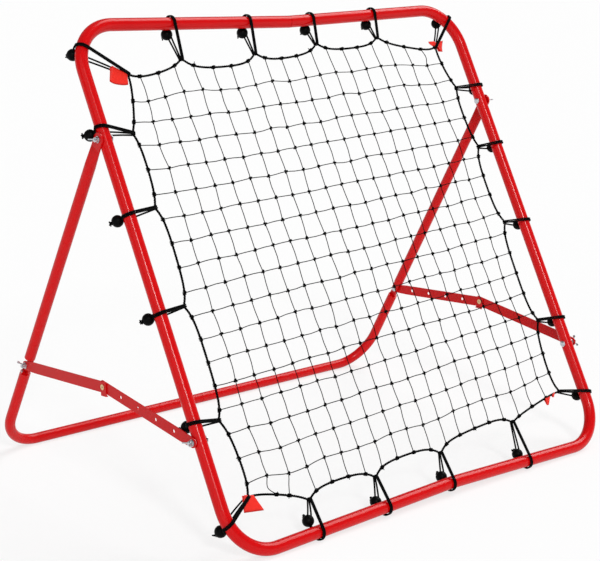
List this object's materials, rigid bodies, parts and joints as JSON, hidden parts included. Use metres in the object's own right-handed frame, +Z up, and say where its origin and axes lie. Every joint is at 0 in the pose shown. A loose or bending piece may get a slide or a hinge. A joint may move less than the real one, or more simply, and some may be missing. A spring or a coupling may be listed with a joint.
{
  "type": "pitch back rebounder",
  "caption": "Square net rebounder: a net hung by ball bungees in a leaning tube frame, with a hinged U-shaped rear support and folding perforated stays.",
  "frame": {"origin": "on the ground, at the middle of the footprint of the object's bounding box", "axes": "+Z up; -Y is the front, the side the ball is thrown at; +X to the right seen from the front"},
  "size_m": [1.0936, 0.7902, 0.9192],
  "materials": {
    "frame_red": "gloss powder coat",
    "support_red": "gloss powder coat",
    "stay_red": "gloss powder coat",
    "zinc": "bright zinc",
    "rivet_brass": "bright",
    "net_twine": "knotted twine",
    "border_rope": "laid rope",
    "tag_fabric": "coated fabric",
    "elastic_cord": "braided elastic",
    "bungee_ball": "satin"
  },
  "bodies": {
    "main_frame": {"frame_half_left": "frame_red", "frame_half_right": "frame_red", "frame_snap_buttons": "zinc", "hinge_bolts": "zinc", "hinge_washers": "zinc", "hinge_wing_nuts": "zinc", "front_stay_bolts": "zinc", "front_stay_spacers": "zinc", "front_stay_washers": "zinc", "front_stay_wing_nuts": "zinc", "net_mesh": "net_twine", "net_border_rope": "border_rope", "corner_tag_top_left": "tag_fabric", "corner_tag_top_right": "tag_fabric", "corner_tag_bottom_left": "tag_fabric", "corner_tag_bottom_right": "tag_fabric", "bungee_cords_top": "elastic_cord", "bungee_cords_bottom": "elastic_cord", "bungee_cords_left": "elastic_cord", "bungee_cords_right": "elastic_cord", "bungee_cords_corner": "elastic_cord", "bungee_balls_top": "bungee_ball", "bungee_balls_bottom": "bungee_ball", "bungee_balls_left": "bungee_ball", "bungee_balls_right": "bungee_ball", "bungee_balls_corner": "bungee_ball"},
    "rear_support": {"rear_leg_left": "support_red", "rear_leg_right": "support_red", "rear_base_left": "support_red", "rear_base_right": "support_red", "rear_snap_button": "zinc", "rear_stay_bolts": "zinc", "rear_stay_spacer": "zinc", "rear_stay_washers": "zinc", "rear_stay_wing_nuts": "zinc"},
    "front_stay_left": {"stay_front_left": "stay_red", "knee_rivet_tail_left": "rivet_brass"},
    "front_stay_right": {"stay_front_right": "stay_red", "knee_rivet_head_right": "rivet_brass"},
    "rear_stay_left": {"stay_rear_left": "stay_red", "knee_rivet_head_left": "rivet_brass"},
    "rear_stay_right": {"stay_rear_right": "stay_red", "knee_rivet_tail_right": "rivet_brass"}
  },
  "joints": [
    {"name": "rear_support_fold", "type": "hinge", "parent": "main_frame", "child": "rear_support", "pos_m": [0, 0.01453, 0.70878], "axis": [1, 0, 0], "range_deg": [-20.5, 0]},
    {"name": "front_stay_left_fold", "type": "hinge", "parent": "main_frame", "child": "front_stay_left", "pos_m": [0, -0.27108, 0.20398], "axis": [1, 0, 0], "range_deg": [-66, 0]},
    {"name": "front_stay_right_fold", "type": "hinge", "parent": "main_frame", "child": "front_stay_right", "pos_m": [0, -0.27108, 0.20398], "axis": [1, 0, 0], "range_deg": [-66, 0]},
    {"name": "rear_stay_left_fold", "type": "hinge", "parent": "rear_support", "child": "rear_stay_left", "pos_m": [0, 0.27569, 0.21567], "axis": [1, 0, 0], "range_deg": [0, 69]},
    {"name": "rear_stay_right_fold", "type": "hinge", "parent": "rear_support", "child": "rear_stay_right", "pos_m": [0, 0.27569, 0.21567], "axis": [1, 0, 0], "range_deg": [0, 69]}
  ],
  "couplings": [
    {"joint": "front_stay_left_fold", "follows": "rear_support_fold", "ratio": 3.1245},
    {"joint": "front_stay_right_fold", "follows": "rear_support_fold", "ratio": 3.1245},
    {"joint": "rear_stay_left_fold", "follows": "rear_support_fold", "ratio": -3.2507},
    {"joint": "rear_stay_right_fold", "follows": "rear_support_fold", "ratio": -3.2507}
  ]
}
